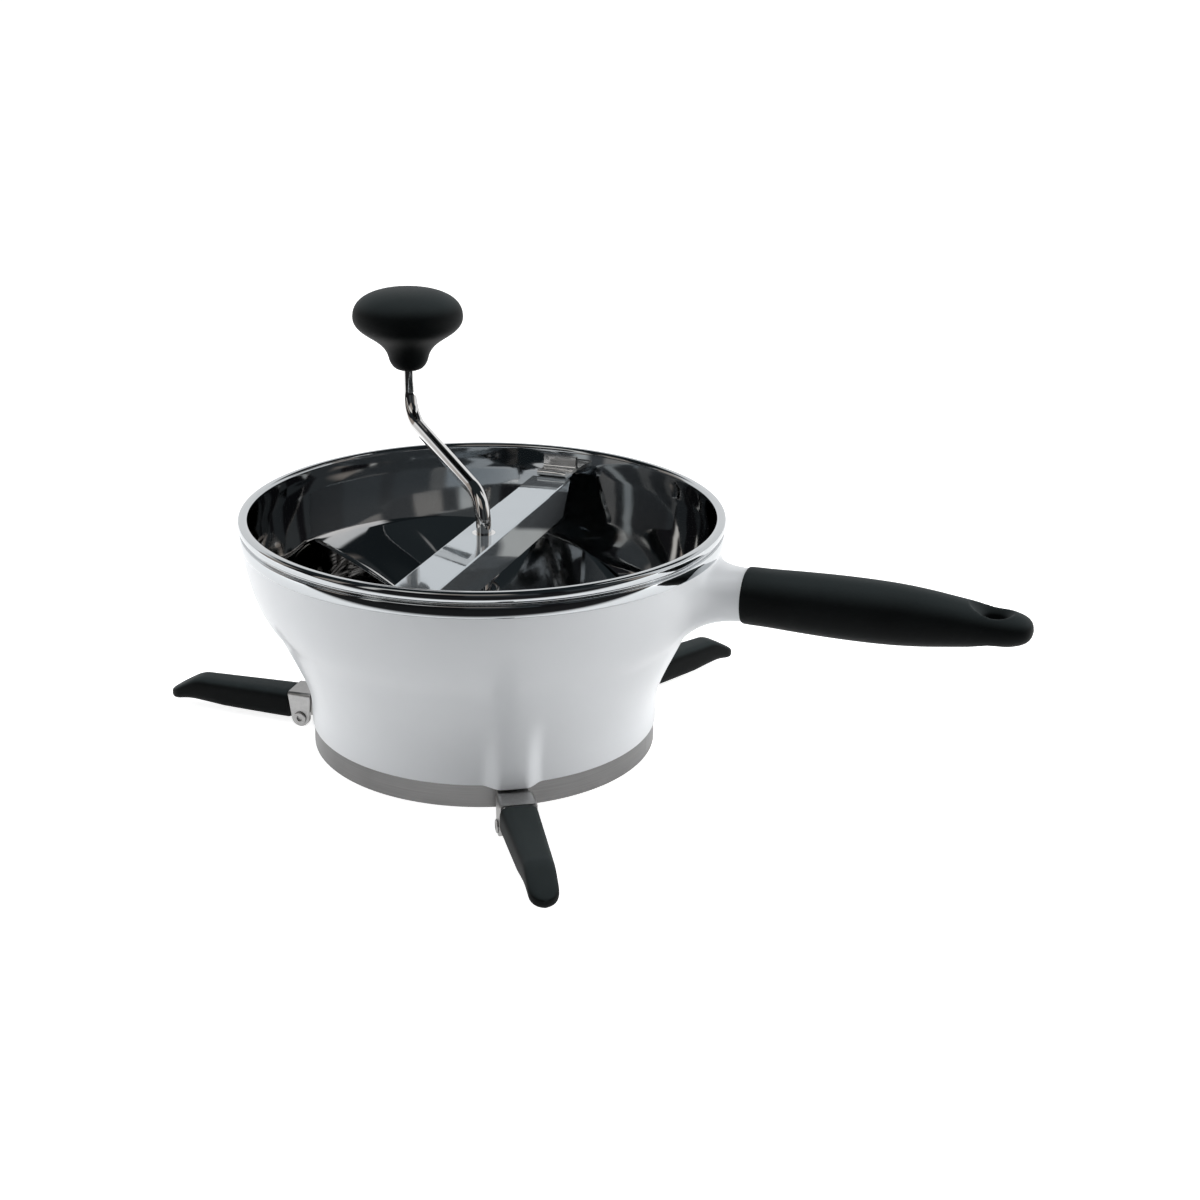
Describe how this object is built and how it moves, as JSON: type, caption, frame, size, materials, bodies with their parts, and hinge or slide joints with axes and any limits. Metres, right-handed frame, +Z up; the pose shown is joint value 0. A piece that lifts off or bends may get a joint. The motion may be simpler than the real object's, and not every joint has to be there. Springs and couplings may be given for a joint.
{
  "type": "rotary food mill",
  "caption": "Hand-cranked kitchen mill that rices boiled potatoes: steel bowl in a white shell, soft handle, folding legs, crank, winged blade and perforated disc.",
  "frame": {"origin": "on the bowl's axis, at the height of the base band's bottom edge", "axes": "+Z up along the crank's axis, +X along the handle, +Y to the left of the handle seen from behind the bowl"},
  "size_m": [0.4104, 0.284, 0.2007],
  "materials": {
    "polished_steel": "mirror-polished stainless steel",
    "brushed_steel": "fine brushed stainless steel",
    "disc_steel": "satin stainless steel sheet with punched holes",
    "spring_steel": "bright drawn wire",
    "turned_steel": "fine turned steel",
    "white_plastic": "smooth white moulding, soft gloss",
    "core_plastic": "hard moulded plastic",
    "black_rubber": "soft matte black elastomer"
  },
  "bodies": {
    "mill": {"bowl": "polished_steel", "outer_shell": "white_plastic", "base_band": "brushed_steel", "grinding_disc": "disc_steel", "handle_grip": "black_rubber", "bar_clip_left": "polished_steel", "bar_clip_right": "polished_steel", "leg_lug_back": "brushed_steel", "leg_lug_left": "brushed_steel", "leg_lug_right": "brushed_steel", "leg_rivet_back": "brushed_steel", "leg_rivet_left": "brushed_steel", "leg_rivet_right": "brushed_steel"},
    "bar": {"crossbar": "polished_steel", "bar_bush": "polished_steel", "bar_spring": "spring_steel"},
    "crank": {"crank_rod": "polished_steel", "blade_hub": "turned_steel", "blade": "polished_steel", "hub_pin": "turned_steel", "spring_washer": "turned_steel", "rod_end_cap": "turned_steel"},
    "knob": {"knob_core": "core_plastic", "knob_grip": "black_rubber"},
    "leg_back": {"leg_bracket_back": "brushed_steel", "leg_grip_back": "black_rubber"},
    "leg_left": {"leg_bracket_left": "brushed_steel", "leg_grip_left": "black_rubber"},
    "leg_right": {"leg_bracket_right": "brushed_steel", "leg_grip_right": "black_rubber"}
  },
  "joints": [
    {"name": "bar_press", "type": "slide", "parent": "mill", "child": "bar", "axis": [0, 0, 1], "range_m": [-0.005, 0], "stiffness_N_per_m": 1500, "springref_m": 0.006, "deforming": ["bar_spring"]},
    {"name": "crank_spin", "type": "hinge", "parent": "mill", "child": "crank", "pos_m": [0, 0, 0.1], "axis": [0, 0, 1], "continuous": true},
    {"name": "knob_spin", "type": "hinge", "parent": "crank", "child": "knob", "pos_m": [-0.06364, 0.06364, 0.17], "axis": [0, 0, 1], "continuous": true},
    {"name": "leg_back_fold", "type": "hinge", "parent": "mill", "child": "leg_back", "pos_m": [-0.09144, -0.00319, -0.0026], "axis": [0.0349, -0.9994, 0], "range_deg": [0, 180]},
    {"name": "leg_left_fold", "type": "hinge", "parent": "mill", "child": "leg_left", "pos_m": [0.04575, 0.07924, -0.0026], "axis": [-0.866, 0.5, 0], "range_deg": [0, 180]},
    {"name": "leg_right_fold", "type": "hinge", "parent": "mill", "child": "leg_right", "pos_m": [0.04575, -0.07924, -0.0026], "axis": [0.866, 0.5, 0], "range_deg": [0, 180]}
  ]
}
